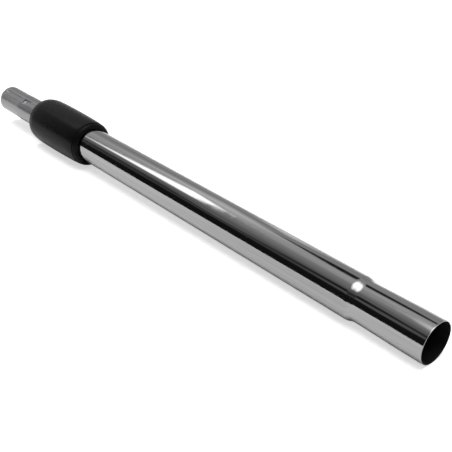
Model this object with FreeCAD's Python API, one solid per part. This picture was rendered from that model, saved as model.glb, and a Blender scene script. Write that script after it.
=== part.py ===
import FreeCAD, Part
import math
import os

# Telescopic vacuum wand, in millimetres, lying along X.
# The origin is the centre of the socket's mouth, and +X points out of that mouth.
# The free end of the inner tube points along -X.

# Outer tube: chromed steel, necked down to a socket for the hose handle
outer_tube_diameter = 35.0
outer_tube_wall = 0.5
outer_tube_length = 467.0
socket_bore = 32.0
socket_land = 17.0
neck_step = 1.7
neck_length = 58.0
swage_length = 8.5
mouth_edge_radius = 0.2

# Inner tube: steel, with a pressed key groove and pressed lock notches
telescope_step = 3.05
inner_tube_wall = 0.6
plug_step = 0.25
plug_length = 36.0
plug_taper = 4.0
plug_edge_radius = 0.25
groove_width = 7.3
groove_floor_width = 5.6
groove_depth = 1.3
groove_start = 5.0
groove_run_out = 3.0
groove_wall = 0.43
groove_edge_radius = 0.5
notch_length = 15.0
notch_width = 5.0
notch_depth = 1.2
notch_end_slope = 0.8
notch_pitch = 44.0
first_notch = 51.0
notches_drawn_out = 1

# Lock mechanism, turned about the tube's axis from straight up
lock_angle = 31.0

# Guide bush: moulded housing of the lock, with a shank inside the outer tube
bush_head_length = 35.6
bush_flange_height = 3.1
bush_core_wall = 2.15
bush_flange = 4.0
bush_shank_length = 25.0
bush_rib_width = 2.4
bush_rib_count = 6
bush_solid_angle = 180.0
leaf_bed_rise = 3.55
leaf_bed_rail = 2.0
seal_width = 4.0
seal_depth = 1.2
lug_diameter = 6.0
lug_from_tube_end = 12.0

# Lock leaf: folded spring steel strip
leaf_thickness = 0.5
leaf_width = 8.0
leaf_length = 32.5
leaf_tip_gap = 0.5
tooth_length = 13.0
tooth_width = 4.2
tooth_corner = 1.0
hump_height = 2.2
hump_length = 3.0
hump_ramp = 2.0
rivet_diameter = 2.4
rivet_head_diameter = 4.2
rivet_head_height = 0.9
rivet_length = 3.2
rivet_spacing = 5.0
rivet_edge = 4.0

# Lock sleeve: moulded barrel, closed by a ring at the inner tube's side
sleeve_length = 94.0
sleeve_shoulder_wall = 2.4
sleeve_front_wall = 3.4
sleeve_front_station = 12.0
sleeve_belly_wall = 3.65
sleeve_belly_station = 29.5
sleeve_waist_wall = 2.8
sleeve_waist_station = 78.0
sleeve_rim_wall = 2.0
sleeve_rim_station = 89.5
sleeve_rim_radius = 0.9
sleeve_dome_bulge = 1.0
sleeve_relief_depth = 0.7
sleeve_end_wall = 7.0
sleeve_key_width = 3.0
sleeve_key_height = 1.6
sleeve_travel = 8.0
end_ring_wall = 4.5
end_ring_radius = 4.0
end_ring_spigot_length = 4.0
end_ring_spigot_wall = 1.0

# Return spring: steel wire coil between the bush and the sleeve's end wall
spring_wire = 1.2
spring_wire_sides = 6
spring_gap = 1.2
spring_turns = 5

# Rear guide: plastic ring clipped on the inner tube's hidden end, with a felt seal
rear_guide_length = 15.0
rear_guide_lip = 1.5
rear_guide_lip_depth = 1.4
felt_width = 5.0
felt_depth = 1.2
rear_lug_diameter = 5.0
pull_out_gap = 1.5
push_in_gap = 0.8

# Clearances and fits
slide_clearance = 0.3
key_clearance = 0.35
seal_clearance = 0.2
tube_clearance = 0.2
seat_clearance = 0.1
stop_clearance = 0.2
tooth_clearance = 0.5

# How far a cutting shape runs past what it cuts
overrun = 1.0

# Radii that the pieces share
outer_radius = outer_tube_diameter / 2
bore_radius = outer_radius - outer_tube_wall
neck_radius = outer_radius - neck_step
inner_radius = outer_radius - telescope_step
plug_radius = inner_radius - plug_step
groove_floor = inner_radius - groove_depth
notch_floor = groove_floor - notch_depth
bush_bore = inner_radius + slide_clearance
bush_core_radius = bush_bore + bush_core_wall
bush_head_radius = outer_radius + bush_flange_height
leaf_bed_height = inner_radius + leaf_bed_rise
spring_radius = outer_radius + spring_gap + spring_wire / 2
sleeve_bore = bush_head_radius + slide_clearance
sleeve_relief = sleeve_bore + sleeve_relief_depth
sleeve_hole = outer_radius + slide_clearance
sleeve_shoulder_radius = sleeve_bore + sleeve_shoulder_wall
sleeve_rim_edge = sleeve_bore + sleeve_rim_wall
end_ring_bore = inner_radius + slide_clearance
end_ring_spigot_radius = sleeve_bore + seat_clearance + end_ring_spigot_wall

# Stations along X
tube_end = -outer_tube_length
head_face = tube_end - bush_head_length
shank_end = tube_end + bush_shank_length
leaf_tip = head_face + leaf_tip_gap
tooth_centre = leaf_tip + tooth_length / 2
hump_start = leaf_tip + tooth_length + leaf_tip_gap
hump_centre = hump_start + hump_ramp + hump_length / 2
sleeve_face = head_face - stop_clearance - end_ring_wall
free_end = tooth_centre - first_notch - notches_drawn_out * notch_pitch

# The last notch still leaves the bush and the rear guide room behind it
notch_to_shank_end = shank_end - tooth_centre
inner_tube_tail = notch_to_shank_end + groove_run_out + pull_out_gap + rear_guide_length
swage_start = -neck_length - swage_length
pushed_in_room = swage_start - push_in_gap - rear_guide_lip - tooth_centre - inner_tube_tail
notch_steps = math.floor(pushed_in_room / notch_pitch)
notch_stations = [first_notch + step * notch_pitch for step in range(notch_steps + 1)]
inner_tube_length = notch_stations[-1] + inner_tube_tail
groove_end = inner_tube_length - rear_guide_length - pull_out_gap / 2

AXIS = FreeCAD.Vector(1, 0, 0)
ORIGIN = FreeCAD.Vector(0, 0, 0)


def turned(shape, degrees):
    """A copy of a shape, turned about the wand's axis."""
    copy = shape.copy()
    copy.rotate(ORIGIN, AXIS, degrees)
    return copy


def at_lock(shape):
    """A shape that is drawn with the lock at the top, turned to the lock's real place."""
    return turned(shape, lock_angle)


def line(start, end):
    """A straight edge between two (x, radius) points of a profile."""
    return Part.makeLine(FreeCAD.Vector(start[0], 0, start[1]), FreeCAD.Vector(end[0], 0, end[1]))


def arc(start, middle, end):
    """A round edge through three (x, radius) points of a profile."""
    points = [FreeCAD.Vector(x, 0, r) for x, r in (start, middle, end)]
    return Part.Arc(*points).toShape()


def swept_arc(start, heading, end):
    """A round edge that leaves a point along a heading and ends at another, and its heading there."""
    lean = math.atan2(end[1] - start[1], end[0] - start[0])
    quarter = (lean - heading) / 2
    reach = math.dist(start, end) / 2 / math.cos(quarter)
    middle_x = start[0] + reach * math.cos(heading + quarter)
    middle_r = start[1] + reach * math.sin(heading + quarter)
    return arc(start, (middle_x, middle_r), end), 2 * lean - heading


def revolved(edges, angle=360):
    """The solid that a closed profile of (x, radius) edges sweeps about the wand's axis."""
    profile = Part.Face(Part.Wire(Part.__sortEdges__(edges)))
    return profile.revolve(ORIGIN, AXIS, angle)


def turned_solid(points, angle=360):
    """The solid of revolution of a closed outline of straight edges."""
    closed = points + points[:1]
    return revolved([line(a, b) for a, b in zip(closed, closed[1:])], angle)


def ring(start, end, inner, outer, angle=360):
    """A plain ring, or a stretch of one, between two stations along X."""
    return turned_solid([(start, inner), (end, inner), (end, outer), (start, outer)], angle)


def prism_along_x(points, start, end):
    """A straight bar along X with a cross-section of (y, z) points."""
    corners = [FreeCAD.Vector(start, y, z) for y, z in points]
    face = Part.Face(Part.makePolygon(corners + corners[:1]))
    return face.extrude(FreeCAD.Vector(end - start, 0, 0))


def prism_across(points, width):
    """A bar across the wand, centred on it, with a side outline of (x, z) points."""
    corners = [FreeCAD.Vector(x, -width / 2, z) for x, z in points]
    face = Part.Face(Part.makePolygon(corners + corners[:1]))
    return face.extrude(FreeCAD.Vector(0, width, 0))


def block(start, end, width, bottom, top):
    """A box along X, centred across the wand, between two heights."""
    return Part.makeBox(end - start, width, top - bottom, FreeCAD.Vector(start, -width / 2, bottom))


def peg(x, radius, bottom, top):
    """A round peg standing upright at a station, between two heights."""
    return Part.makeCylinder(radius, top - bottom, FreeCAD.Vector(x, 0, bottom))


def side_pegs(x, radius, bottom, top):
    """Two pegs, one on each side of the lock."""
    upright = peg(x, radius, bottom, top)
    return [turned(upright, 90), turned(upright, -90)]


def groove_section(growth):
    """The groove's cross-section, grown by a distance on its sides and floor."""
    slope = (groove_width - groove_floor_width) / 2 / groove_depth
    bottom = groove_floor - growth
    top = outer_radius
    floor_half = groove_floor_width / 2 + growth
    top_half = floor_half + slope * (top - bottom)
    return [(-floor_half, bottom), (floor_half, bottom), (top_half, top), (-top_half, top)]


def s_bend(x_wide, wide, x_narrow, narrow, inward):
    """Two tangent arcs that step a tube down, on its outer or its inner skin."""
    length = x_narrow - x_wide
    drop = wide - narrow
    radius = (length ** 2 + drop ** 2) / (4 * drop)
    half_turn = math.asin(length / (2 * radius)) / 2
    edges = []
    for x, centre, sign in ((x_wide, wide - radius, 1), (x_narrow, narrow + radius, -1)):
        size = radius - sign * inward
        swing = [(x + sign * size * math.sin(a), centre + sign * size * math.cos(a))
                 for a in (0, half_turn, 2 * half_turn)]
        edges.append(arc(*swing))
    return edges


def make_outer_tube():
    """Straight tube, two-arc swage, slightly flared neck and a cylindrical socket land."""
    mouth_radius = socket_bore / 2 + outer_tube_wall
    edge = mouth_edge_radius
    corner = edge * (1 - math.sqrt(0.5))
    edges = s_bend(swage_start, outer_radius, -neck_length, neck_radius, 0)
    edges += s_bend(swage_start, outer_radius, -neck_length, neck_radius, outer_tube_wall)
    edges += [
        line((tube_end, outer_radius), (swage_start, outer_radius)),
        line((-neck_length, neck_radius), (-socket_land, mouth_radius)),
        line((-socket_land, mouth_radius), (-edge, mouth_radius)),
        arc((-edge, mouth_radius), (-corner, mouth_radius - corner), (0, mouth_radius - edge)),
        line((0, mouth_radius - edge), (0, socket_bore / 2)),
        line((0, socket_bore / 2), (-socket_land, socket_bore / 2)),
        line((-socket_land, socket_bore / 2), (-neck_length, neck_radius - outer_tube_wall)),
        line((swage_start, bore_radius), (tube_end, bore_radius)),
        line((tube_end, bore_radius), (tube_end, outer_radius)),
    ]
    tube = revolved(edges)
    lug_station = tube_end + lug_from_tube_end
    lug_holes = side_pegs(lug_station, lug_diameter / 2 + seat_clearance, inner_radius, bush_head_radius)
    return at_lock(tube.cut(lug_holes))


def inner_tube_form(inset, run_past):
    """The inner tube's round form as a bar, inset from its skin and run past both ends."""
    start = free_end - run_past
    end = free_end + inner_tube_length + run_past
    plug_end = free_end + plug_length
    return turned_solid([
        (start, 0),
        (start, plug_radius - inset),
        (plug_end, plug_radius - inset),
        (plug_end + plug_taper, inner_radius - inset),
        (end, inner_radius - inset),
        (end, 0),
    ])


def groove_form(growth):
    """The bar that presses the groove, with its floor ramped out at both ends."""
    start = free_end + groove_start
    end = free_end + groove_end
    bottom = groove_floor - growth
    side = prism_across([
        (start - growth, outer_radius),
        (start - growth, inner_radius),
        (start + groove_run_out - growth, bottom),
        (end - groove_run_out + growth, bottom),
        (end + growth, inner_radius),
        (end + growth, outer_radius),
    ], outer_tube_diameter)
    return prism_along_x(groove_section(growth), start - growth, end + growth).common(side)


def notch_forms(growth):
    """The bars that press the notches, with steep ends."""
    bottom = notch_floor - growth
    half_floor = notch_length / 2 - notch_end_slope + growth
    half_top = notch_length / 2 + growth
    notches = []
    for station in notch_stations:
        x = free_end + station
        notches.append(prism_across([
            (x - half_floor, bottom),
            (x + half_floor, bottom),
            (x + half_top, groove_floor),
            (x + half_top, groove_floor + groove_depth / 2),
            (x - half_top, groove_floor + groove_depth / 2),
            (x - half_top, groove_floor),
        ], notch_width + 2 * growth))
    return notches


def long_edges(shape, length):
    """The straight edges along X that are longer than a length."""
    found = []
    for edge in shape.Edges:
        box = edge.BoundBox
        if box.XLength > length and max(box.YLength, box.ZLength) < seat_clearance:
            found.append(edge)
    return found


def hoops(shape, x):
    """The round edges about the wand's axis at a station."""
    found = []
    for edge in shape.Edges:
        if isinstance(edge.Curve, Part.Circle) and abs(edge.Curve.Center.x - x) < seat_clearance:
            found.append(edge)
    return found


def make_inner_tube():
    """Thin tube whose groove and notches show on its outside and as ridges in its bore."""
    skin = inner_tube_form(0, 0).cut(groove_form(0))
    grooved = long_edges(skin, inner_tube_length / 2)
    lock_edges = [edge for edge in grooved if edge.BoundBox.ZMin > groove_floor - seat_clearance]
    skin = skin.makeFillet(groove_edge_radius, lock_edges)
    skin = skin.makeFillet(plug_edge_radius, hoops(skin, free_end))
    skin = skin.cut(notch_forms(0))
    pressed = [groove_form(groove_wall)] + notch_forms(groove_wall)
    bore = inner_tube_form(inner_tube_wall, overrun).cut(pressed)
    tube = skin.cut(bore)
    lug_holes = side_pegs(rear_lug_station(), rear_lug_diameter / 2 + seat_clearance, 0, outer_radius)
    return at_lock(tube.cut(lug_holes))


def rear_lug_station():
    """Where the rear guide's lugs go through the inner tube."""
    return free_end + inner_tube_length - rear_guide_length / 4


def key_form(start, end, clearance, base):
    """A rib that fits the inner tube's groove with a clearance all round."""
    (left, bottom), (right, _), (right_top, top), (left_top, _) = groove_section(-clearance)
    share = (base - bottom) / (top - bottom)
    right_base = right + share * (right_top - right)
    left_base = left + share * (left_top - left)
    return prism_along_x([(left, bottom), (right, bottom), (right_base, base), (left_base, base)], start, end)


def seal_station():
    """Where the air seal's groove starts, behind the tooth window."""
    return leaf_tip + tooth_length + 2 * tooth_clearance + bush_rib_width


def make_guide_bush():
    """Spool-shaped lock housing, solid below and ribbed above, and a keyed shank with two snap lugs."""
    shank_radius = bore_radius - seat_clearance
    head_parts = [
        ring(head_face, head_face + bush_flange, bush_bore, bush_head_radius),
        ring(tube_end - bush_flange, tube_end, bush_bore, bush_head_radius),
        ring(tube_end, shank_end, bush_bore, shank_radius),
    ]
    rib_outline = ring(head_face, tube_end, bush_bore, bush_head_radius)
    rib_top = bush_head_radius + overrun
    rib = block(head_face, tube_end, bush_rib_width, bush_bore, rib_top).common(rib_outline)
    for index in range(1, bush_rib_count):
        head_parts.append(turned(rib, index * 360 / bush_rib_count))
    solid_side = ring(head_face, tube_end, bush_bore, bush_head_radius, bush_solid_angle)
    head_parts.append(turned(solid_side, 180 - bush_solid_angle / 2))
    channel_width = leaf_width + 2 * tooth_clearance
    bed = block(head_face, tube_end, channel_width + 2 * leaf_bed_rail, bush_bore / 2, rib_top)
    head_parts.append(bed.common(rib_outline))
    lug_station = tube_end + lug_from_tube_end
    lug_outline = ring(tube_end, shank_end, bush_bore, outer_radius - seat_clearance)
    for lug in side_pegs(lug_station, lug_diameter / 2, bush_bore / 2, outer_radius):
        head_parts.append(lug.common(lug_outline))
    bush = ring(head_face, tube_end, bush_bore, bush_core_radius).fuse(head_parts)

    cut_start = head_face - overrun
    cut_end = tube_end + overrun
    channel = block(cut_start, cut_end, channel_width, leaf_bed_height, rib_top)
    window = block(
        leaf_tip - tooth_clearance,
        leaf_tip + tooth_length + tooth_clearance,
        tooth_width + 2 * tooth_clearance,
        notch_floor,
        bush_head_radius,
    )
    key_slot_width = sleeve_key_width + 2 * slide_clearance
    key_slot_depth = sleeve_key_height + slide_clearance
    key_slot = block(cut_start, cut_end, key_slot_width, -rib_top, -bush_head_radius + key_slot_depth)
    seal_start = seal_station()
    seal_groove = ring(seal_start, seal_start + seal_width, bush_bore / 2, bush_bore + seal_depth)
    rivet_holes = [peg(x, rivet_diameter / 2, 0, bush_head_radius) for x in rivet_stations()]
    keep_bore = ring(cut_start, shank_end + overrun, bush_bore, bush_head_radius)
    rivet_holes = [hole.common(keep_bore) for hole in rivet_holes]
    bush = bush.cut([channel, window, key_slot, seal_groove] + rivet_holes)
    key_start = seal_start + seal_width + seat_clearance
    key = key_form(key_start, shank_end, key_clearance, bush_bore + seat_clearance)
    return at_lock(bush.fuse(key).removeSplitter())


def make_bush_seal():
    """Rubber ring in the bush, with a rib that follows the groove."""
    start = seal_station()
    end = start + seal_width
    body = ring(start, end, inner_radius + seal_clearance, bush_bore + seal_depth)
    rib = key_form(start, end, key_clearance, bush_bore)
    return at_lock(body.fuse(rib).removeSplitter())


def rivet_stations():
    """The two rivets, counted from the leaf's tail."""
    last = leaf_tip + leaf_length - rivet_edge
    return [last - rivet_spacing, last]


def make_lock_leaf():
    """Spring strip with a raised hump under the sleeve's land and two folded teeth at its tip."""
    low = leaf_bed_height
    high = leaf_bed_height + hump_height - leaf_thickness
    slope_start = hump_start
    crest_start = slope_start + hump_ramp
    crest_end = crest_start + hump_length
    slope_end = crest_end + hump_ramp
    tail = leaf_tip + leaf_length
    under = [
        (leaf_tip, low),
        (slope_start, low),
        (crest_start, high),
        (crest_end, high),
        (slope_end, low),
        (tail, low),
    ]
    over = [(x, z + leaf_thickness) for x, z in reversed(under)]
    strip = prism_across(under + over, leaf_width)
    side_width = (leaf_width - tooth_width) / 2
    for side in (-1, 1):
        waste = block(leaf_tip - overrun, leaf_tip + tooth_length, side_width, low - overrun, high)
        waste.translate(FreeCAD.Vector(0, side * (tooth_width + side_width) / 2, 0))
        strip = strip.cut(waste)
    tip_height = notch_floor + slide_clearance
    tooth_end = leaf_tip + tooth_length
    tooth_outline = [
        (leaf_tip, low),
        (leaf_tip, tip_height + tooth_corner),
        (leaf_tip + tooth_corner / 2, tip_height),
        (tooth_end - tooth_corner / 2, tip_height),
        (tooth_end, tip_height + tooth_corner),
        (tooth_end, low),
    ]
    tooth = prism_across(tooth_outline, leaf_thickness)
    for side in (-1, 1):
        flap = tooth.copy()
        flap.translate(FreeCAD.Vector(0, side * (tooth_width - leaf_thickness) / 2, 0))
        strip = strip.fuse(flap)
    holes = [peg(x, rivet_diameter / 2, low - overrun, high + leaf_thickness) for x in rivet_stations()]
    return at_lock(strip.removeSplitter().cut(holes))


def make_leaf_rivets():
    """Two domed rivets that hold the leaf's tail on its bed."""
    seat = leaf_bed_height + leaf_thickness
    rivets = []
    for x in rivet_stations():
        shaft = peg(x, rivet_diameter / 2, seat - rivet_length, seat)
        half = rivet_head_diameter / 2
        dome_radius = (half ** 2 + rivet_head_height ** 2) / (2 * rivet_head_height)
        centre = FreeCAD.Vector(x, 0, seat + rivet_head_height - dome_radius)
        head = Part.makeSphere(dome_radius, centre).common(peg(x, half, seat, seat + rivet_head_height))
        rivets.append(shaft.fuse(head).removeSplitter())
    return at_lock(Part.makeCompound([solid for rivet in rivets for solid in rivet.Solids]))


def spring_seat():
    """The inner face of the sleeve's end wall."""
    return sleeve_face + sleeve_length - sleeve_end_wall


def half_turn(radius):
    """Half a turn of the spring's wire, from the top to the bottom, drawn with a few flat sides."""
    corners = []
    for index in range(spring_wire_sides):
        angle = 2 * math.pi * (index + 0.5) / spring_wire_sides
        corners.append((spring_wire / 2 * math.cos(angle), radius + spring_wire / 2 * math.sin(angle)))
    return turned_solid(corners, 180)


def make_return_spring():
    """Coil with flat ends between the bush and the sleeve's end wall; each half turn leans to the next."""
    first = tube_end + spring_wire / 2
    last = spring_seat() - spring_wire / 2
    steps = 2 * spring_turns - 2
    rise = (last - first) / steps
    lean = math.atan2(rise / 2, spring_radius)
    flat = half_turn(spring_radius)
    leaning = half_turn(spring_radius / math.cos(lean))
    leaning.rotate(ORIGIN, FreeCAD.Vector(0, 1, 0), -math.degrees(lean))
    placed = [(flat, 180, first), (flat, 180 * steps, last)]
    placed += [(leaning, 180 * step, first + rise * (step + 0.5)) for step in range(steps)]
    coils = []
    for shape, angle, x in placed:
        coil = turned(shape, angle)
        coil.translate(FreeCAD.Vector(x, 0, 0))
        coils.append(coil)
    return coils[0].fuse(coils[1:])


def make_end_ring():
    """Rounded ring that plugs the sleeve's mouth and clears the inner tube."""
    face = sleeve_face
    shoulder = sleeve_shoulder_radius
    radius = end_ring_radius
    parting = face + radius
    spigot_end = parting + end_ring_spigot_length
    spigot_inner = end_ring_spigot_radius - end_ring_spigot_wall
    back = face + end_ring_wall
    bend = radius * (1 - math.sqrt(0.5))
    edges = [
        line((face, end_ring_bore), (face, shoulder - radius)),
        arc((face, shoulder - radius), (face + bend, shoulder - bend), (parting, shoulder)),
        line((parting, shoulder), (parting, end_ring_spigot_radius)),
        line((parting, end_ring_spigot_radius), (spigot_end, end_ring_spigot_radius)),
        line((spigot_end, end_ring_spigot_radius), (spigot_end, spigot_inner)),
        line((spigot_end, spigot_inner), (back, spigot_inner)),
        line((back, spigot_inner), (back, end_ring_bore)),
        line((back, end_ring_bore), (face, end_ring_bore)),
    ]
    return revolved(edges)


def barrel_edges():
    """The barrel's long outer curve, tangent arcs from the belly to the end ring and to the rim."""
    belly = (sleeve_face + sleeve_belly_station, sleeve_bore + sleeve_belly_wall)
    front = (sleeve_face + sleeve_front_station, sleeve_bore + sleeve_front_wall)
    shoulder = (sleeve_face + end_ring_radius, sleeve_shoulder_radius)
    waist = (sleeve_face + sleeve_waist_station, sleeve_bore + sleeve_waist_wall)
    rim = (sleeve_face + sleeve_rim_station - sleeve_rim_radius, sleeve_rim_edge)
    edges = []
    for heading, points in ((-math.pi, (front, shoulder)), (0, (waist, rim))):
        start = belly
        for end in points:
            edge, heading = swept_arc(start, heading, end)
            edges.append(edge)
            start = end
    return edges


def make_lock_sleeve():
    """Barrel with a locking land over the leaf's hump, relief on both sides of it, and a domed end."""
    parting = sleeve_face + end_ring_radius
    counterbore = end_ring_spigot_radius + seat_clearance
    spigot_end = parting + end_ring_spigot_length
    half_land = hump_length / 2 + leaf_tip_gap * 2
    land_start = hump_centre - half_land
    land_end = hump_centre + half_land
    relief_end = land_end + sleeve_travel + 2 * hump_ramp
    seat = spring_seat()
    end = sleeve_face + sleeve_length
    rim = sleeve_face + sleeve_rim_station
    rim_bend = sleeve_rim_radius * (1 - math.sqrt(0.5))
    dome_start = (rim, sleeve_rim_edge - sleeve_rim_radius)
    hole_edge = (end, sleeve_hole)
    dome = ((rim + end) / 2 + sleeve_dome_bulge, (dome_start[1] + sleeve_hole) / 2 + sleeve_dome_bulge)
    inside = [
        hole_edge,
        (seat, sleeve_hole),
        (seat, sleeve_bore),
        (relief_end, sleeve_bore),
        (relief_end, sleeve_relief),
        (land_end, sleeve_relief),
        (land_end, sleeve_bore),
        (land_start, sleeve_bore),
        (land_start, sleeve_relief),
        (spigot_end, sleeve_relief),
        (spigot_end, counterbore),
        (parting, counterbore),
        (parting, sleeve_shoulder_radius),
    ]
    edges = [line(a, b) for a, b in zip(inside, inside[1:])]
    edges += barrel_edges()
    rim_start = (rim - sleeve_rim_radius, sleeve_rim_edge)
    edges += [
        arc(rim_start, (rim - rim_bend, sleeve_rim_edge - rim_bend), dome_start),
        arc(dome_start, dome, hole_edge),
    ]
    barrel = revolved(edges)
    key_end = tube_end - stop_clearance
    key_room = ring(land_end, key_end, bush_head_radius - sleeve_key_height, sleeve_relief + seat_clearance)
    key = block(land_end, key_end, sleeve_key_width, -sleeve_shoulder_radius, 0).common(key_room)
    return at_lock(barrel.fuse(key).removeSplitter())


def make_rear_guide():
    """Guide ring on the inner tube's end, with a felt groove, an end lip and two lugs."""
    end = free_end + inner_tube_length
    start = end - rear_guide_length
    guide_radius = bore_radius - tube_clearance
    body = ring(start, end + rear_guide_lip, inner_radius, guide_radius)
    lip = ring(end, end + rear_guide_lip, inner_radius - rear_guide_lip_depth, inner_radius)
    felt_start = start + (rear_guide_length - felt_width) / 2
    felt_groove = ring(felt_start, felt_start + felt_width, guide_radius - felt_depth, outer_radius)
    lug_outline = ring(start, end, inner_radius - inner_tube_wall, guide_radius)
    lugs = [lug.common(lug_outline)
            for lug in side_pegs(rear_lug_station(), rear_lug_diameter / 2, 0, outer_radius)]
    return at_lock(body.fuse([lip] + lugs).cut(felt_groove).removeSplitter())


def make_rear_seal():
    """Felt ring that wipes the outer tube's bore."""
    guide_radius = bore_radius - tube_clearance
    start = free_end + inner_tube_length - (rear_guide_length + felt_width) / 2
    return ring(start, start + felt_width, guide_radius - felt_depth, bore_radius - tube_clearance / 2)


pieces = {
    "outer_tube": make_outer_tube,
    "inner_tube": make_inner_tube,
    "guide_bush": make_guide_bush,
    "bush_seal": make_bush_seal,
    "lock_leaf": make_lock_leaf,
    "leaf_rivets": make_leaf_rivets,
    "return_spring": make_return_spring,
    "lock_sleeve": make_lock_sleeve,
    "end_ring": make_end_ring,
    "rear_guide": make_rear_guide,
    "rear_seal": make_rear_seal,
}

os.makedirs("parts", exist_ok=True)
for name, make in pieces.items():
    shape = make()
    print(name, len(shape.Solids), "solid", round(shape.Volume, 1), "mm3", shape.isValid())
    shape.exportStep("parts/" + name + ".step")
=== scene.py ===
import bpy
import math
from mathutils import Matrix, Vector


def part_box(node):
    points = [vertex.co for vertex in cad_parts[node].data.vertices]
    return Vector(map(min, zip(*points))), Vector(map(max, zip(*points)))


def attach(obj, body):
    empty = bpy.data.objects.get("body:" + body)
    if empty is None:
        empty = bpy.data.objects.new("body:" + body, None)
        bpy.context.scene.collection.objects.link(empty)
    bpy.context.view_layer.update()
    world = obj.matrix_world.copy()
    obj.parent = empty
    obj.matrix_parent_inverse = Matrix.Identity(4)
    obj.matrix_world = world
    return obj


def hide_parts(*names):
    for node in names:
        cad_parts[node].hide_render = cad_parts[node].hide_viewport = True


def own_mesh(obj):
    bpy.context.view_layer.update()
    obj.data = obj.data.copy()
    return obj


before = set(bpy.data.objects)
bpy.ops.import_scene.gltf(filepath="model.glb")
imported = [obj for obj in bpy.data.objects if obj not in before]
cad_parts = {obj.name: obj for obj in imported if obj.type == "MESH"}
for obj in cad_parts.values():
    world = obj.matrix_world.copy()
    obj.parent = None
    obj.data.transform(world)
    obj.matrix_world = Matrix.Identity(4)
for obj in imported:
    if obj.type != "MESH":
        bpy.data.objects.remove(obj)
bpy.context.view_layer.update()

mm = 0.001  # profiles and sizes below are in millimetres, the scene is in metres
lockTurn = math.radians(31)  # the lock and the groove stand this far round from straight up
weldReach = 0.002 * mm  # points nearer than this are one point


def pickNothing():
    bpy.ops.object.select_all(action="DESELECT")


def pickOnly(piece):
    pickNothing()
    piece.select_set(True)
    bpy.context.view_layer.objects.active = piece


def endHeading(start, heading, end):
    # the heading at end of a round stretch that leaves start along heading
    return 2 * math.atan2(end[1] - start[1], end[0] - start[0]) - heading


def tangentArc(start, heading, end, steps):
    # (x, r) points of that round stretch, without its first
    turn = endHeading(start, heading, end) - heading
    radius = math.dist(start, end) / (2 * math.sin(turn / 2))
    points = []
    for step in range(1, steps + 1):
        angle = heading + turn * step / steps
        x = start[0] + radius * (math.sin(angle) - math.sin(heading))
        r = start[1] + radius * (math.cos(heading) - math.cos(angle))
        points.append((x, r))
    return points


def turnOnAxis(name, profile, sides):
    # a ring of points is drawn out through the profile's (x, r) stations, as on a lathe
    pickNothing()
    x, r = profile[0]
    bpy.ops.mesh.primitive_circle_add(
        vertices=sides, radius=r * mm, location=(x * mm, 0, 0), rotation=(0, math.pi / 2, 0))
    piece = bpy.context.object
    piece.name = name
    piece.data.name = name
    bpy.ops.object.transform_apply(location=True, rotation=True, scale=True)
    bpy.ops.object.mode_set(mode="EDIT")
    bpy.ops.mesh.select_all(action="SELECT")
    for (lastX, lastR), (x, r) in zip(profile, profile[1:]):
        bpy.ops.mesh.extrude_edges_move(TRANSFORM_OT_translate={"value": ((x - lastX) * mm, 0, 0)})
        bpy.ops.transform.resize(value=(1, r / lastR, r / lastR), center_override=(x * mm, 0, 0))
    bpy.ops.mesh.select_all(action="SELECT")
    bpy.ops.mesh.remove_doubles(threshold=weldReach)
    bpy.ops.mesh.normals_make_consistent(inside=False)
    bpy.ops.object.mode_set(mode="OBJECT")
    return piece


def clearPick(kind):
    bpy.ops.object.mode_set(mode="EDIT")
    bpy.ops.mesh.select_mode(type=kind)
    bpy.ops.mesh.select_all(action="DESELECT")
    bpy.ops.object.mode_set(mode="OBJECT")


def pickFaces(piece, wanted):
    # picks the faces whose middle, in millimetres, and normal suit, and stays in edit mode
    clearPick("FACE")
    for face in piece.data.polygons:
        face.select = wanted(face.center / mm, face.normal)
    bpy.ops.object.mode_set(mode="EDIT")


def pickPoints(piece, wanted):
    # picks the points whose place, in millimetres, suits, and stays in edit mode
    clearPick("VERT")
    for point in piece.data.vertices:
        point.select = wanted(point.co / mm)
    bpy.ops.object.mode_set(mode="EDIT")


def useModifier(piece, kind, settings):
    pickOnly(piece)
    modifier = piece.modifiers.new(kind.title(), kind)
    for key, value in settings.items():
        setattr(modifier, key, value)
    bpy.ops.object.modifier_apply(modifier=modifier.name)


def drillAcross(piece, x, radius):
    # one round drill right through both walls, square to the lock
    tool = {"sides": 40, "length": 60.0}
    pickNothing()
    bpy.ops.mesh.primitive_cylinder_add(
        vertices=tool["sides"], radius=radius * mm, depth=tool["length"] * mm,
        location=(x * mm, 0, 0), rotation=(math.pi / 2, 0, 0))
    drill = bpy.context.object
    useModifier(piece, "BOOLEAN", {"operation": "DIFFERENCE", "solver": "EXACT", "object": drill})
    bpy.data.objects.remove(drill)


def turnToLock(piece):
    pickOnly(piece)
    piece.rotation_euler = (lockTurn, 0, 0)
    bpy.ops.object.transform_apply(location=True, rotation=True, scale=True)


def smoothSides(piece, degrees):
    pickOnly(piece)
    bpy.ops.object.shade_smooth_by_angle(angle=math.radians(degrees))


def finishPiece(piece, body, node, materials):
    piece.data.materials.clear()
    for material in materials:
        piece.data.materials.append(material)
    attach(piece, body)
    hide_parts(node)


# Materials

def linear(hexColour):
    # sRGB hex to the linear colour that a shader takes
    channels = [int(hexColour[i:i + 2], 16) / 255 for i in (1, 3, 5)]
    return [c / 12.92 if c <= 0.04045 else ((c + 0.055) / 1.055) ** 2.4 for c in channels] + [1]


def addNode(tree, kind, settings, links):
    node = tree.nodes.new(kind)
    for key, value in settings.items():
        if isinstance(key, int) or key in node.inputs:
            node.inputs[key].default_value = value
        else:
            setattr(node, key, value)
    for key, socket in links.items():
        tree.links.new(socket, node.inputs[key])
    return node


def newMaterial(name):
    material = bpy.data.materials.new(name)
    material.use_nodes = True
    tree = material.node_tree
    tree.nodes.clear()
    return material, tree


def closeMaterial(tree, shader):
    addNode(tree, "ShaderNodeOutputMaterial", {}, {"Surface": shader.outputs["BSDF"]})


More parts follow.
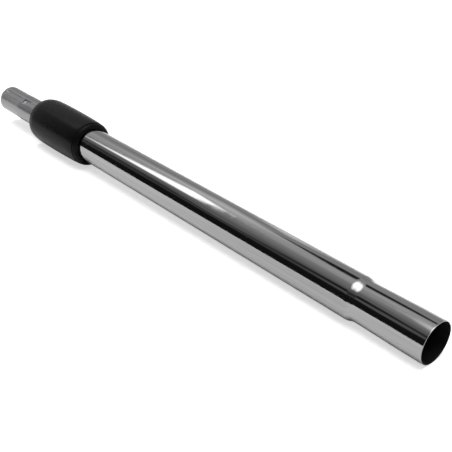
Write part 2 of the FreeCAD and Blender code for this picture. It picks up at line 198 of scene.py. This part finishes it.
def chromePlate():
    # bright nickel-chrome on drawn tube: a sharp mirror, with faint lines along the draw and a trace of haze;
    # real draw lines are too fine to show at this distance, so they are drawn wider and deeper
    look = {"dark": "#949494", "pale": "#C8C8C8", "lineWidth": 2.0 * mm, "lineLength": 400 * mm,
            "hazeSize": 6 * mm, "hazeFrom": 0.35, "hazeTo": 0.7, "smooth": 0.04, "hazy": 0.11,
            "lineDepth": 0.03 * mm}
    material, tree = newMaterial("brightChromePlate")
    place = addNode(tree, "ShaderNodeTexCoord", {}, {}).outputs["Object"]
    drawn = addNode(tree, "ShaderNodeMapping",
                    {"Scale": (1 / look["lineLength"], 1 / look["lineWidth"], 1 / look["lineWidth"])},
                    {"Vector": place})
    lines = addNode(tree, "ShaderNodeTexNoise", {"Scale": 1.0, "Detail": 3.0, "Roughness": 0.6},
                    {"Vector": drawn.outputs["Vector"]})
    haze = addNode(tree, "ShaderNodeTexNoise", {"Scale": 1 / look["hazeSize"], "Detail": 4.0},
                   {"Vector": place})
    tint = addNode(tree, "ShaderNodeMix",
                   {"data_type": "RGBA", 6: linear(look["dark"]), 7: linear(look["pale"])},
                   {0: lines.outputs["Fac"]})
    sheen = addNode(tree, "ShaderNodeMapRange",
                    {"From Min": look["hazeFrom"], "From Max": look["hazeTo"],
                     "To Min": look["smooth"], "To Max": look["hazy"]},
                    {"Value": haze.outputs["Fac"]})
    relief = addNode(tree, "ShaderNodeBump", {"Strength": 1.0, "Distance": look["lineDepth"]},
                     {"Height": lines.outputs["Fac"]})
    shader = addNode(tree, "ShaderNodeBsdfPrincipled", {"Metallic": 1.0},
                     {"Base Color": tint.outputs[2], "Roughness": sheen.outputs["Result"],
                      "Normal": relief.outputs["Normal"]})
    closeMaterial(tree, shader)
    return material


def satinSteel():
    # plated tube rubbed with fine grit along its length:
    # an even grey, with a softened mirror and short brush lines
    look = {"dark": "#929294", "pale": "#A9A9AA", "lineWidth": 0.25 * mm, "lineLength": 30 * mm,
            "smooth": 0.16, "rough": 0.28, "lineDepth": 0.002 * mm}
    material, tree = newMaterial("satinPlatedSteel")
    place = addNode(tree, "ShaderNodeTexCoord", {}, {}).outputs["Object"]
    brushed = addNode(tree, "ShaderNodeMapping",
                      {"Scale": (1 / look["lineLength"], 1 / look["lineWidth"], 1 / look["lineWidth"])},
                      {"Vector": place})
    lines = addNode(tree, "ShaderNodeTexNoise", {"Scale": 1.0, "Detail": 4.0, "Roughness": 0.65},
                    {"Vector": brushed.outputs["Vector"]})
    tint = addNode(tree, "ShaderNodeMix",
                   {"data_type": "RGBA", 6: linear(look["dark"]), 7: linear(look["pale"])},
                   {0: lines.outputs["Fac"]})
    sheen = addNode(tree, "ShaderNodeMapRange", {"To Min": look["smooth"], "To Max": look["rough"]},
                    {"Value": lines.outputs["Fac"]})
    relief = addNode(tree, "ShaderNodeBump", {"Strength": 1.0, "Distance": look["lineDepth"]},
                     {"Height": lines.outputs["Fac"]})
    shader = addNode(tree, "ShaderNodeBsdfPrincipled", {"Metallic": 1.0},
                     {"Base Color": tint.outputs[2], "Roughness": sheen.outputs["Result"],
                      "Normal": relief.outputs["Normal"]})
    closeMaterial(tree, shader)
    return material


def mouldedPlastic(name, look):
    # moulded plastic from a spark-etched tool: even colour, fine grain that breaks the shine
    material, tree = newMaterial(name)
    place = addNode(tree, "ShaderNodeTexCoord", {}, {}).outputs["Object"]
    grain = addNode(tree, "ShaderNodeTexNoise", {"Scale": 1 / look["grainSize"], "Detail": 3.0},
                    {"Vector": place})
    cloud = addNode(tree, "ShaderNodeTexNoise", {"Scale": 1 / look["cloudSize"], "Detail": 2.0},
                    {"Vector": place})
    tint = addNode(tree, "ShaderNodeMix",
                   {"data_type": "RGBA", 6: linear(look["dark"]), 7: linear(look["pale"])},
                   {0: cloud.outputs["Fac"]})
    sheen = addNode(tree, "ShaderNodeMapRange", {"To Min": look["smooth"], "To Max": look["rough"]},
                    {"Value": grain.outputs["Fac"]})
    relief = addNode(tree, "ShaderNodeBump", {"Strength": 1.0, "Distance": look["grainDepth"]},
                     {"Height": grain.outputs["Fac"]})
    shader = addNode(tree, "ShaderNodeBsdfPrincipled", {"IOR": look["ior"]},
                     {"Base Color": tint.outputs[2], "Roughness": sheen.outputs["Result"],
                      "Normal": relief.outputs["Normal"]})
    closeMaterial(tree, shader)
    return material


def dullMetal(name, look):
    # bare steel with its drawing film left on: grey, streaked along the tube or wire; in the bore it is made
    # nearly black as painted shade
    material, tree = newMaterial(name)
    place = addNode(tree, "ShaderNodeTexCoord", {}, {}).outputs["Object"]
    drawn = addNode(tree, "ShaderNodeMapping",
                    {"Scale": (1 / look["lineLength"], 1 / look["lineWidth"], 1 / look["lineWidth"])},
                    {"Vector": place})
    lines = addNode(tree, "ShaderNodeTexNoise", {"Scale": 1.0, "Detail": 3.0},
                    {"Vector": drawn.outputs["Vector"]})
    tint = addNode(tree, "ShaderNodeMix",
                   {"data_type": "RGBA", 6: linear(look["dark"]), 7: linear(look["pale"])},
                   {0: lines.outputs["Fac"]})
    sheen = addNode(tree, "ShaderNodeMapRange", {"To Min": look["smooth"], "To Max": look["rough"]},
                    {"Value": lines.outputs["Fac"]})
    shader = addNode(tree, "ShaderNodeBsdfPrincipled", {"Metallic": look["metallic"]},
                     {"Base Color": tint.outputs[2], "Roughness": sheen.outputs["Result"]})
    closeMaterial(tree, shader)
    return material


def pressedFelt():
    # pressed wool felt: matte, short tangled hairs, soft light at grazing angles
    look = {"dark": "#86847D", "pale": "#A8A69E", "hairSize": 0.35 * mm, "hairDepth": 0.15 * mm,
            "tangle": 1.5, "rough": 0.95, "fuzz": 0.3}
    material, tree = newMaterial("pressedWoolFelt")
    place = addNode(tree, "ShaderNodeTexCoord", {}, {}).outputs["Object"]
    hairs = addNode(tree, "ShaderNodeTexNoise",
                    {"Scale": 1 / look["hairSize"], "Detail": 6.0, "Distortion": look["tangle"]},
                    {"Vector": place})
    tint = addNode(tree, "ShaderNodeMix",
                   {"data_type": "RGBA", 6: linear(look["dark"]), 7: linear(look["pale"])},
                   {0: hairs.outputs["Fac"]})
    relief = addNode(tree, "ShaderNodeBump", {"Strength": 1.0, "Distance": look["hairDepth"]},
                     {"Height": hairs.outputs["Fac"]})
    shader = addNode(tree, "ShaderNodeBsdfPrincipled",
                     {"Roughness": look["rough"], "Sheen Weight": look["fuzz"]},
                     {"Base Color": tint.outputs[2], "Normal": relief.outputs["Normal"]})
    closeMaterial(tree, shader)
    return material


chrome = chromePlate()
satin = satinSteel()
# the barrel's grain is too fine to show at this distance, so it is drawn coarser;
# the low index stands in for the part of the shine that real grain swallows
blackPlastic = mouldedPlastic("satinBlackPolypropylene", {
    "dark": "#0A0A0A", "pale": "#121212", "grainSize": 1.4 * mm, "cloudSize": 30 * mm,
    "smooth": 0.2, "rough": 0.32, "grainDepth": 0.03 * mm, "ior": 1.18})
greyPlastic = mouldedPlastic("mattGreyAcetal", {
    "dark": "#6C6C6E", "pale": "#7A7A7C", "grainSize": 0.4 * mm, "cloudSize": 20 * mm,
    "smooth": 0.45, "rough": 0.6, "grainDepth": 0.01 * mm, "ior": 1.48})
sealRubber = mouldedPlastic("mattBlackRubber", {
    "dark": "#141414", "pale": "#1E1E1E", "grainSize": 0.3 * mm, "cloudSize": 8 * mm,
    "smooth": 0.65, "rough": 0.85, "grainDepth": 0.02 * mm, "ior": 1.52})
# the bore is dull unplated steel, but its near-black colour is painted shade for the dark inside of the tube
boreWithPaintedShade = dullMetal("dullBoreSteelPaintedShade", {
    "dark": "#050505", "pale": "#0C0C0C", "lineLength": 60 * mm, "lineWidth": 0.8 * mm,
    "smooth": 0.6, "rough": 0.8, "metallic": 0.3})
springSteel = dullMetal("drawnSpringSteel", {
    "dark": "#7E7E80", "pale": "#A2A2A4", "lineLength": 8 * mm, "lineWidth": 0.3 * mm,
    "smooth": 0.22, "rough": 0.38, "metallic": 1.0})
felt = pressedFelt()
print("materials made")


# Outer tube: chromed, swaged down to the socket

def makeOuterTube():
    low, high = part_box("outer_tube")
    tube = {"radius": high.y / mm, "wall": 0.5, "backEnd": low.x / mm, "swageStart": -66.5,
            "neckStart": -58.0, "neckRadius": 15.8, "landStart": -17.0, "mouthRadius": 16.5, "rim": 0.2,
            "holdRing": 0.8, "lugHoleAt": 12.0, "lugHoleRadius": 3.1, "lugRoom": 5.0,
            "bendSteps": 9, "rimSteps": 4, "sides": 160, "smoothAngle": 30}

    def skin(inset):
        # the straight run, the two tangent arcs of the swage and the start of the neck
        wide = tube["radius"] - inset
        lugX = tube["backEnd"] + tube["lugHoleAt"]
        middleX = (tube["swageStart"] + tube["neckStart"]) / 2
        middleR = (tube["radius"] + tube["neckRadius"]) / 2
        bend = 2 * math.atan2(tube["neckRadius"] - tube["radius"], tube["neckStart"] - tube["swageStart"])
        middle = (middleX + inset * math.sin(bend), middleR - inset * math.cos(bend))
        start = (tube["swageStart"], wide)
        end = (tube["neckStart"], tube["neckRadius"] - inset)
        down = tangentArc(start, 0, middle, tube["bendSteps"])
        level = tangentArc(middle, endHeading(start, 0, middle), end, tube["bendSteps"])
        straight = [tube["backEnd"], lugX - tube["lugRoom"], lugX + tube["lugRoom"],
                    tube["swageStart"] - tube["holdRing"], tube["swageStart"]]
        return [(x, wide) for x in straight] + down + level

    mouth = tube["mouthRadius"]
    rim = tangentArc((-tube["rim"], mouth), 0, (0, mouth - tube["rim"]), tube["rimSteps"])
    outside = skin(0) + [(tube["landStart"], mouth), (-tube["holdRing"], mouth), (-tube["rim"], mouth)] + rim
    bore = mouth - tube["wall"]
    inside = [(0, bore), (tube["landStart"], bore)] + skin(tube["wall"])[::-1]
    piece = turnOnAxis("outerTube", outside + inside + outside[:1], tube["sides"])
    drillAcross(piece, tube["backEnd"] + tube["lugHoleAt"], tube["lugHoleRadius"])
    turnToLock(piece)
    finishPiece(piece, "outer", "outer_tube", [chrome, boreWithPaintedShade])
    pickOnly(piece)
    looksIn = -1.0  # faces that look at the axis lie below this, by about the bore's radius
    pickFaces(piece, lambda at, normal: at.y * normal.y + at.z * normal.z < looksIn)
    piece.active_material_index = 1  # the bore, whose near-black colour is painted shade
    bpy.ops.object.material_slot_assign()
    bpy.ops.object.mode_set(mode="OBJECT")
    smoothSides(piece, tube["smoothAngle"])
    print("outer tube turned")


# Inner tube: satin, with a pressed key groove and a row of pressed lock notches

def makeInnerTube():
    low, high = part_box("inner_tube")
    # floorPoints is how many points on each side of the top one lie on the groove's floor
    tube = {"freeEnd": low.x / mm, "tail": high.x / mm, "radius": 14.45, "plugRadius": 14.2, "wall": 0.55,
            "plugLength": 36.0, "plugTaper": 4.0, "endRound": 0.25, "endSteps": 4,
            "sides": 98, "floorPoints": 3, "pickSlack": 0.01, "smoothAngle": 35,
            "grooveStart": 5.0, "grooveEnd": 15.75, "runOut": 3.0, "holdRing": 0.6, "grooveDepth": 1.3,
            "edgeRound": 0.4, "edgeSteps": 3, "edgeAngle": 25,
            "firstNotch": 51.0, "pitch": 44.0, "notches": 9, "notchLength": 15.0, "notchWidth": 5.0,
            "notchDepth": 1.2, "notchSlope": 0.8, "lugHoleAt": 3.75, "lugHoleRadius": 2.6, "lugRoom": 2.9}
    start = tube["freeEnd"]
    end = tube["tail"]
    grooveFloor = tube["radius"] - tube["grooveDepth"]
    floorHalf = tube["radius"] * math.sin(2 * math.pi * tube["floorPoints"] / tube["sides"])
    margin = floorHalf - tube["notchWidth"] / 2
    notchHalf = tube["notchLength"] / 2
    notchAt = [start + tube["firstNotch"] + i * tube["pitch"] for i in range(tube["notches"])]
    plug = tube["plugRadius"]
    endRound = tube["endRound"]
    hold = tube["holdRing"]
    lip = tangentArc((start, plug - endRound), math.pi / 2, (start + endRound, plug), tube["endSteps"])
    profile = [(start, plug - endRound)] + lip
    grooveStart = start + tube["grooveStart"]
    floorStart = grooveStart + tube["runOut"]
    profile += [(x, plug) for x in (grooveStart - hold, grooveStart, floorStart, floorStart + hold)]
    plugEnd = start + tube["plugLength"]
    profile += [(plugEnd, plug), (plugEnd + tube["plugTaper"], tube["radius"])]
    for x in notchAt:
        profile += [(x - notchHalf - margin, tube["radius"]), (x + notchHalf + margin, tube["radius"])]
    grooveEnd = end - tube["grooveEnd"]
    floorEnd = grooveEnd - tube["runOut"]
    lugX = end - tube["lugHoleAt"]
    stations = [floorEnd - hold, floorEnd, grooveEnd, grooveEnd + hold,
                lugX - tube["lugRoom"], lugX + tube["lugRoom"], end]
    profile += [(x, tube["radius"]) for x in stations]
    piece = turnOnAxis("innerTube", profile, tube["sides"])

    # the groove's floor is pressed flat between its two run-outs
    slack = tube["pickSlack"]
    pickPoints(piece, lambda at: at.z > 0 and abs(at.y) < floorHalf + slack
               and floorStart - slack < at.x < floorEnd + slack)
    bpy.ops.transform.resize(value=(1, 1, 0), center_override=(0, 0, grooveFloor * mm))
    bpy.ops.object.mode_set(mode="OBJECT")

    # each notch is inset in the floor and pressed further in
    for x in notchAt:
        pickFaces(piece, lambda at, normal: abs(at.x - x) < notchHalf and abs(at.y) < floorHalf and at.z > 0)
        bpy.ops.mesh.inset(thickness=margin * mm, depth=0, use_even_offset=True)
        bpy.ops.mesh.extrude_region_move(
            TRANSFORM_OT_translate={"value": (0, 0, -tube["notchDepth"] * mm)})
        bpy.ops.transform.resize(
            value=(1 - tube["notchSlope"] / notchHalf, 1, 1), center_override=(x * mm, 0, 0))
        bpy.ops.object.mode_set(mode="OBJECT")
    useModifier(piece, "BEVEL", {"width": tube["edgeRound"] * mm, "segments": tube["edgeSteps"],
                                 "limit_method": "ANGLE", "angle_limit": math.radians(tube["edgeAngle"])})
    useModifier(piece, "SOLIDIFY", {"thickness": tube["wall"] * mm, "offset": -1})
    drillAcross(piece, lugX, tube["lugHoleRadius"])
    turnToLock(piece)
    smoothSides(piece, tube["smoothAngle"])
    finishPiece(piece, "inner", "inner_tube", [satin])
    print("inner tube pressed")


# Lock sleeve: black barrel, with its key inside, and the rounded ring that closes it

def makeLockSleeve():
    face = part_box("end_ring")[0].x / mm
    # (x, r) points and stations count from the end ring's face
    sleeve = {"length": 94.0, "parting": 4.0, "shoulderRadius": 23.3, "front": (12.0, 24.3),
              "belly": (29.5, 24.55), "waist": (78.0, 23.7), "rimAt": 89.5, "rimRadius": 22.9,
              "rimRound": 0.9, "domeHeading": 6.3, "hole": 17.8, "endWall": 7.0, "bore": 20.9, "relief": 21.6,
              "counterbore": 22.1, "spigotEnd": 8.0, "landStart": 19.7, "landEnd": 24.7, "reliefEnd": 36.7,
              "keyEnd": 40.1, "keyRadius": 19.0, "keyWidth": 3.0,
              "arcSteps": 10, "rimSteps": 5, "domeSteps": 8, "sides": 160, "smoothAngle": 35}
    steps = sleeve["arcSteps"]
    belly, front, waist = sleeve["belly"], sleeve["front"], sleeve["waist"]
    parting = (sleeve["parting"], sleeve["shoulderRadius"])
    rimStart = (sleeve["rimAt"] - sleeve["rimRound"], sleeve["rimRadius"])
    rimEnd = (sleeve["rimAt"], sleeve["rimRadius"] - sleeve["rimRound"])
    toShoulder = tangentArc(belly, -math.pi, front, steps)
    shoulder = tangentArc(front, endHeading(belly, -math.pi, front), parting, steps)
    toWaist = tangentArc(belly, 0, waist, steps)
    toRim = tangentArc(waist, endHeading(belly, 0, waist), rimStart, steps)
    rim = tangentArc(rimStart, 0, rimEnd, sleeve["rimSteps"])
    dome = tangentArc(rimEnd, math.radians(sleeve["domeHeading"]),
                      (sleeve["length"], sleeve["hole"]), sleeve["domeSteps"])
    seat = sleeve["length"] - sleeve["endWall"]
    outside = (toShoulder + shoulder)[::-1] + [belly] + toWaist + toRim + rim + dome
    inside = [(seat, sleeve["hole"]), (seat, sleeve["bore"]), (sleeve["keyEnd"], sleeve["bore"]),
              (sleeve["reliefEnd"], sleeve["bore"]), (sleeve["reliefEnd"], sleeve["relief"]),
              (sleeve["landEnd"], sleeve["relief"]), (sleeve["landEnd"], sleeve["bore"]),
              (sleeve["landStart"], sleeve["bore"]), (sleeve["landStart"], sleeve["relief"]),
              (sleeve["spigotEnd"], sleeve["relief"]), (sleeve["spigotEnd"], sleeve["counterbore"]),
              (sleeve["parting"], sleeve["counterbore"])]
    profile = [(face + x, r) for x, r in outside + inside + outside[:1]]
    piece = turnOnAxis("lockSleeve", profile, sleeve["sides"])

    # the key is drawn in from the bore opposite the lock, and its top is levelled
    nearlyUp = 0.9
    pickFaces(piece, lambda at, normal: at.z < 0 and normal.z > nearlyUp
              and abs(at.y) < sleeve["keyWidth"] / 2
              and face + sleeve["landEnd"] < at.x < face + sleeve["keyEnd"])
    bpy.ops.mesh.extrude_region_move(
        TRANSFORM_OT_translate={"value": (0, 0, (sleeve["relief"] - sleeve["keyRadius"]) * mm)})
    bpy.ops.transform.resize(value=(1, 1, 0), center_override=(0, 0, -sleeve["keyRadius"] * mm))
    bpy.ops.object.mode_set(mode="OBJECT")
    turnToLock(piece)
    smoothSides(piece, sleeve["smoothAngle"])
    finishPiece(piece, "sleeve", "lock_sleeve", [blackPlastic])
    print("lock sleeve turned")


def makeEndRing():
    low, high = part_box("end_ring")
    face = low.x / mm
    ring = {"bore": 14.75, "radius": high.y / mm, "round": 4.0, "lip": 0.5, "spigotRadius": 22.0,
            "spigotEnd": 8.0, "spigotInner": 21.0, "wall": 4.5, "roundSteps": 10, "lipSteps": 4, "sides": 160,
            "smoothAngle": 35}
    lipStart = (ring["lip"], ring["bore"])
    roundStart = (0, ring["radius"] - ring["round"])
    lip = tangentArc(lipStart, math.pi, (0, ring["bore"] + ring["lip"]), ring["lipSteps"])
    shoulder = tangentArc(roundStart, math.pi / 2, (ring["round"], ring["radius"]), ring["roundSteps"])
    outside = [lipStart] + lip + [roundStart] + shoulder
    inside = [(ring["round"], ring["spigotRadius"]), (ring["spigotEnd"], ring["spigotRadius"]),
              (ring["spigotEnd"], ring["spigotInner"]), (ring["wall"], ring["spigotInner"]),
              (ring["wall"], ring["bore"])]
    profile = [(face + x, r) for x, r in outside + inside + outside[:1]]
    piece = turnOnAxis("endRing", profile, ring["sides"])
    smoothSides(piece, ring["smoothAngle"])
    finishPiece(piece, "sleeve", "end_ring", [blackPlastic])
    print("end ring turned")


# Return spring: a coil with flat ends, drawn at one length; the real one shortens as the sleeve slides
# towards the inner tube

def makeReturnSpring():
    # wire is the wire's own radius, and turns leaves out the flat half turns
    spring = {"start": -466.98, "end": -420.32, "wire": 0.58, "radius": 19.3, "turns": 4, "wireSides": 12,
              "turnSteps": 48, "pickSlack": 0.05, "smoothAngle": 40, "sleeveTravel": 8.0}
    first = spring["start"] + spring["wire"]
    last = spring["end"] - spring["wire"]
    pickNothing()
    bpy.ops.mesh.primitive_circle_add(
        vertices=spring["wireSides"], radius=spring["wire"] * mm,
        location=(first * mm, 0, spring["radius"] * mm), rotation=(math.pi / 2, 0, 0))
    piece = bpy.context.object
    piece.name = "returnSpring"
    piece.data.name = "returnSpring"
    bpy.ops.object.transform_apply(location=True, rotation=True, scale=True)
    steps = spring["turns"] * spring["turnSteps"]
    useModifier(piece, "SCREW", {"axis": "X", "angle": 2 * math.pi * spring["turns"],
                                 "screw_offset": (last - first) * mm, "steps": steps, "render_steps": steps})

    # half a flat turn at each end, closed by the cut face of the wire
    slack = spring["pickSlack"]
    for x, turn in ((first, math.pi), (last, -math.pi)):
        pickPoints(piece, lambda at: abs(at.y) < slack and at.z > 0
                   and abs(at.x - x) < spring["wire"] + slack)
        bpy.ops.mesh.spin(steps=spring["turnSteps"] // 2, angle=turn, center=(x * mm, 0, 0), axis=(1, 0, 0))
        bpy.ops.mesh.edge_face_add()
        bpy.ops.mesh.select_all(action="SELECT")
        bpy.ops.mesh.normals_make_consistent(inside=False)
        bpy.ops.object.mode_set(mode="OBJECT")
    smoothSides(piece, spring["smoothAngle"])
    finishPiece(piece, "outer", "return_spring", [springSteel])
    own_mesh(piece)
    print("return spring coiled")


makeOuterTube()
makeInnerTube()
makeLockSleeve()
makeEndRing()
makeReturnSpring()

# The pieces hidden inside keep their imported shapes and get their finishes
hiddenFinish = {"guide_bush": greyPlastic, "rear_guide": greyPlastic, "bush_seal": sealRubber,
                "rear_seal": felt, "lock_leaf": springSteel, "leaf_rivets": springSteel}
for nodeName, material in hiddenFinish.items():
    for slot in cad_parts[nodeName].material_slots:
        slot.material = material
print("hidden pieces finished")


# Floor: the wand lies on the barrel's belly and on the socket's rim, so the floor meets both

def makeFloor():
    floor = {"size": 12.0, "bellyAt": -477.8, "bellyRadius": 24.55, "rimAt": -0.2, "rimRadius": 16.5,
             "colour": "#DCDCDC", "shown": 0.6, "mirrored": 0.05}
    slope = (floor["bellyRadius"] - floor["rimRadius"]) / (floor["rimAt"] - floor["bellyAt"])
    height = -floor["rimRadius"] - slope * floor["rimAt"]
    pickNothing()
    bpy.ops.mesh.primitive_plane_add(
        size=floor["size"], location=(0, 0, height * mm), rotation=(0, -math.atan(slope), 0))
    plane = bpy.context.object
    plane.name = "floor"
    material, tree = newMaterial("paleStudioFloor")
    # white for the camera, a little for mirrors, and matte for the shadow
    path = addNode(tree, "ShaderNodeLightPath", {}, {})
    mirror = addNode(tree, "ShaderNodeMath", {"operation": "MAXIMUM"},
                     {0: path.outputs["Is Glossy Ray"], 1: path.outputs["Is Transmission Ray"]})
    inMirror = addNode(tree, "ShaderNodeMath", {"operation": "MULTIPLY", 1: floor["mirrored"]},
                       {0: mirror.outputs["Value"]})
    strength = addNode(tree, "ShaderNodeMath", {"operation": "MULTIPLY_ADD", 1: floor["shown"]},
                       {0: path.outputs["Is Camera Ray"], 2: inMirror.outputs["Value"]})
    glow = addNode(tree, "ShaderNodeEmission", {"Color": (1, 1, 1, 1)},
                   {"Strength": strength.outputs["Value"]})
    matte = addNode(tree, "ShaderNodeBsdfDiffuse", {"Color": linear(floor["colour"])}, {})
    both = addNode(tree, "ShaderNodeAddShader", {}, {0: glow.outputs["Emission"], 1: matte.outputs["BSDF"]})
    addNode(tree, "ShaderNodeOutputMaterial", {}, {"Surface": both.outputs["Shader"]})
    plane.data.materials.append(material)


makeFloor()
print("floor laid")


# Studio: a dim room in front, pale walls above and behind with a few soft patches, and one even lamp overhead

def makeRoom():
    # brightness by the angle round the wand's axis:
    # 0 is the ceiling, -90 the front horizon, 90 the back horizon
    bands = [(-90, "#1C1C1C"), (-62, "#1C1C1C"), (-57, "#4E4E4E"), (-54, "#545454"), (-50, "#343434"),
             (-45, "#383838"), (-40, "#666666"), (-34, "#7C7C7C"), (-24, "#8A8A8A"), (-12, "#A4A4A4"),
             (5, "#C2C2C2"), (20, "#CECECE"), (34, "#B6B6B6"), (50, "#A6A6A6"), (70, "#AAAAAA"),
             (90, "#B0B0B0")]
    # each patch lies about an angle and an x, drawn out before and after that x, and is full up to a share
    # of its size; lean turns its angle along x, and bulge 1 is a lozenge, 2 an oval
    plain = {"lean": 0.0, "bulge": 1.0, "brightness": 1.0}
    darkFlag = plain | {"angle": 37.0, "x": -0.51, "halfAngle": 12.0, "before": 0.12, "after": 0.25,
                        "full": 0.7, "colour": "#2A2A2A"}
    paleWall = plain | {"angle": 29.0, "x": -0.66, "halfAngle": 30.0, "before": 0.13, "after": 0.13,
                        "full": 0.3, "colour": "#F0F0F0"}
    paleBack = plain | {"angle": 78.0, "x": -0.585, "halfAngle": 22.0, "before": 0.05, "after": 0.07,
                        "full": 0.3, "colour": "#F4F4F4"}
    dimWall = plain | {"angle": -43.0, "x": -0.66, "halfAngle": 9.0, "before": 0.08, "after": 0.11,
                       "full": 0.5, "colour": "#767676"}
    darkEdge = plain | {"angle": -43.5, "x": -0.49, "halfAngle": 6.5, "before": 0.12, "after": 0.18,
                        "full": 0.5, "colour": "#161616"}
    paleEdge = plain | {"angle": -53.5, "x": -0.45, "halfAngle": 9.0, "before": 0.15, "after": 0.2,
                        "full": 0.5, "colour": "#6A6A6A"}
    leftWall = plain | {"angle": -50.0, "x": -0.97, "halfAngle": 250.0, "before": 0.5, "after": 0.17,
                        "full": 0.65, "colour": "#D4D4D4"}
    softBox = plain | {"angle": -1.6, "x": -0.69, "halfAngle": 22.0, "before": 0.14, "after": 0.042,
                       "full": 0.55, "colour": "#FFFFFF", "lean": 165.0, "brightness": 2.6}
    overheadBox = plain | {"angle": -1.0, "x": -0.02, "halfAngle": 29.0, "before": 0.43, "after": 0.56,
                           "full": 0.0, "colour": "#FFFFFF", "bulge": 2.0, "brightness": 4.4}
    world = bpy.data.worlds.new("studioRoom")
    bpy.context.scene.world = world
    world.use_nodes = True
    tree = world.node_tree
    tree.nodes.clear()
    place = addNode(tree, "ShaderNodeTexCoord", {}, {}).outputs["Generated"]
    part = addNode(tree, "ShaderNodeSeparateXYZ", {}, {"Vector": place})
    angle = addNode(tree, "ShaderNodeMath", {"operation": "ARCTAN2"},
                    {0: part.outputs["Y"], 1: part.outputs["Z"]})
    degrees = addNode(tree, "ShaderNodeMath", {"operation": "DEGREES"}, {0: angle.outputs["Value"]})
    share = addNode(tree, "ShaderNodeMapRange", {"From Min": -180.0, "From Max": 180.0},
                    {"Value": degrees.outputs["Value"]})
    ramp = addNode(tree, "ShaderNodeValToRGB", {}, {"Fac": share.outputs["Result"]})
    stops = ramp.color_ramp.elements
    while len(stops) < len(bands):
        stops.new(1)
    for stop, (atDegrees, colour) in zip(stops, bands):
        stop.position = (atDegrees + 180) / 360
        stop.color = linear(colour)

    def addPatch(wall, patch):
        # full in the middle, soft towards the edge
        x = patch["x"]
        lean = patch["lean"]
        middle = addNode(tree, "ShaderNodeMath",
                         {"operation": "MULTIPLY_ADD", 1: lean, 2: patch["angle"] - lean * x},
                         {0: part.outputs["X"]})
        offAngle = addNode(tree, "ShaderNodeMath", {"operation": "SUBTRACT"},
                           {0: degrees.outputs["Value"], 1: middle.outputs["Value"]})
        awayAngle = addNode(tree, "ShaderNodeMath", {"operation": "ABSOLUTE"}, {0: offAngle.outputs["Value"]})
        before = addNode(tree, "ShaderNodeMath",
                         {"operation": "MULTIPLY_ADD", 1: -1 / patch["before"], 2: x / patch["before"]},
                         {0: part.outputs["X"]})
        after = addNode(tree, "ShaderNodeMath",
                        {"operation": "MULTIPLY_ADD", 1: 1 / patch["after"], 2: -x / patch["after"]},
                        {0: part.outputs["X"]})
        awayX = addNode(tree, "ShaderNodeMath", {"operation": "MAXIMUM"},
                        {0: before.outputs["Value"], 1: after.outputs["Value"]})
        shareAngle = addNode(tree, "ShaderNodeMath", {"operation": "DIVIDE", 1: patch["halfAngle"]},
                             {0: awayAngle.outputs["Value"]})
        powers = [addNode(tree, "ShaderNodeMath", {"operation": "POWER", 1: patch["bulge"]},
                          {0: side.outputs["Value"]})
                  for side in (shareAngle, awayX)]
        both = addNode(tree, "ShaderNodeMath", {"operation": "ADD"},
                       {0: powers[0].outputs["Value"], 1: powers[1].outputs["Value"]})
        away = addNode(tree, "ShaderNodeMath", {"operation": "POWER", 1: 1 / patch["bulge"]},
                       {0: both.outputs["Value"]})
        cover = addNode(tree, "ShaderNodeMapRange", {"From Min": 1.0, "From Max": patch["full"]},
                        {"Value": away.outputs["Value"]})
        colour = [channel * patch["brightness"] for channel in linear(patch["colour"])]
        return addNode(tree, "ShaderNodeMix", {"data_type": "RGBA", 7: colour},
                       {0: cover.outputs["Result"], 6: wall}).outputs[2]

    wall = ramp.outputs["Color"]
    for patch in (leftWall, paleWall, paleBack, dimWall, paleEdge, darkEdge, darkFlag, softBox, overheadBox):
        wall = addPatch(wall, patch)
    glow = addNode(tree, "ShaderNodeBackground", {"Strength": 1.0}, {"Color": wall})
    white = addNode(tree, "ShaderNodeBackground", {"Color": (1, 1, 1, 1), "Strength": 1.0}, {})
    path = addNode(tree, "ShaderNodeLightPath", {}, {})
    both = addNode(tree, "ShaderNodeMixShader", {},
                   {0: path.outputs["Is Camera Ray"], 1: glow.outputs["Background"],
                    2: white.outputs["Background"]})
    addNode(tree, "ShaderNodeOutputWorld", {}, {"Surface": both.outputs["Shader"]})


def makeLamp():
    # even soft light from above; the mirrored boxes are on the walls, so the chrome doesn't show this one
    lamp = {"width": 40.0, "lean": (8.0, 0.0, 0.0), "strength": 1.6}
    pickNothing()
    bpy.ops.object.light_add(type="SUN", rotation=[math.radians(a) for a in lamp["lean"]])
    light = bpy.context.object
    light.name = "overheadLamp"
    light.data.angle = math.radians(lamp["width"])
    light.data.energy = lamp["strength"]
    light.visible_glossy = False


makeRoom()
makeLamp()
print("studio lit")


# Camera where the photo was taken from

def makeCamera():
    view = {"at": (0.1867, -0.3455, 0.3070), "turn": (59.35, 0.0, 48.79), "lens": 57.84, "sensor": 36.0,
            "nearest": 0.01}
    pickNothing()
    bpy.ops.object.camera_add(location=view["at"], rotation=[math.radians(a) for a in view["turn"]])
    camera = bpy.context.object
    camera.data.lens = view["lens"]
    camera.data.sensor_width = view["sensor"]
    camera.data.clip_start = view["nearest"]
    bpy.context.scene.camera = camera


makeCamera()
print("camera set")
bpy.context.scene.view_settings.view_transform = "Standard"
